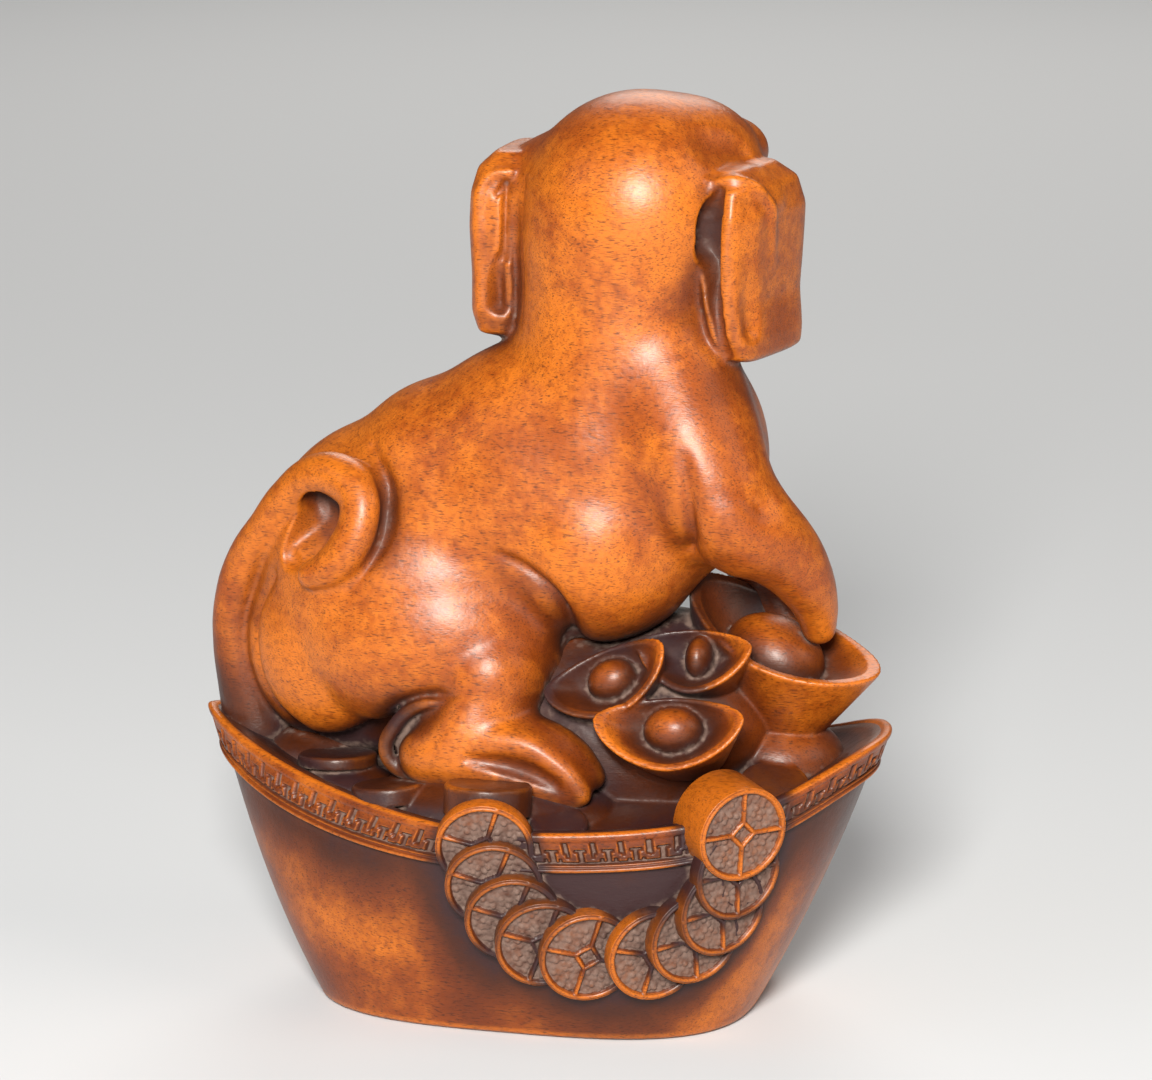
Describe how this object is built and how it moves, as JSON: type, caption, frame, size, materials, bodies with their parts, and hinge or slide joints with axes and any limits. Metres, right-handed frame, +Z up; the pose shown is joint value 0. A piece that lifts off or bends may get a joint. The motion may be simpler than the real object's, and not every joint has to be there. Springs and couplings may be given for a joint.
{
  "type": "carved dog figurine",
  "caption": "Carved boxwood puppy sitting across an ingot-shaped bowl heaped with ingots and coins, with a swag of coins on its wall.",
  "frame": {"origin": "on the underside of the bowl's foot, below the middle of the bowl", "axes": "+X along the bowl towards the puppy's chest and the big ingot, -Y towards the wall with the coin swag, +Z up"},
  "size_m": [0.075, 0.0479, 0.0977],
  "materials": {
    "boxwood": "stained and polished to a satin gloss, dark in the folds"
  },
  "bodies": {
    "root": {"carved_dog_figurine": "boxwood"}
  },
  "joints": []
}
